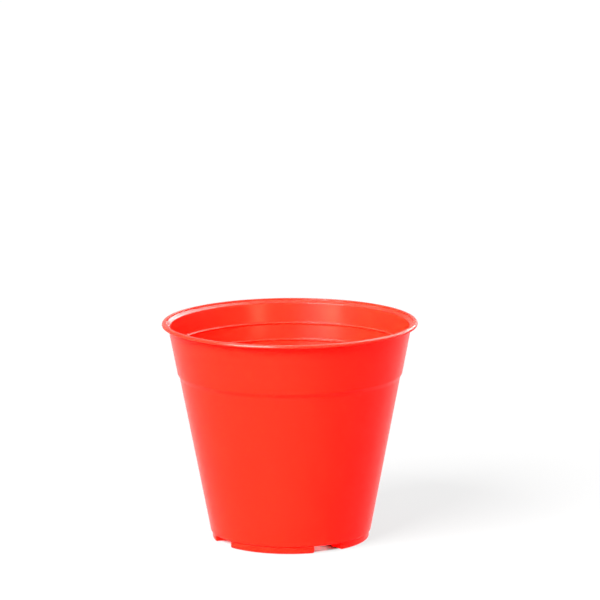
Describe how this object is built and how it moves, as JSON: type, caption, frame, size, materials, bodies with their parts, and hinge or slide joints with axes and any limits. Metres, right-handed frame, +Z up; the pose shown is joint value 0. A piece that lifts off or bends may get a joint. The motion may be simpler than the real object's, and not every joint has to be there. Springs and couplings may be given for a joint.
{
  "type": "plant pot",
  "caption": "Round tapered plastic plant pot with a flared rim, a collar above a shallow shoulder, and notched feet with drain slots.",
  "frame": {"origin": "on the floor under the feet, on the pot's axis", "axes": "+Z up along the pot's axis; +X and +Y each point over the middle of a foot, with the drain notches between them"},
  "size_m": [0.13, 0.13, 0.112],
  "materials": {
    "pot_plastic": "satin red injection-moulded polypropylene"
  },
  "bodies": {
    "root": {"pot": "pot_plastic"}
  },
  "joints": []
}
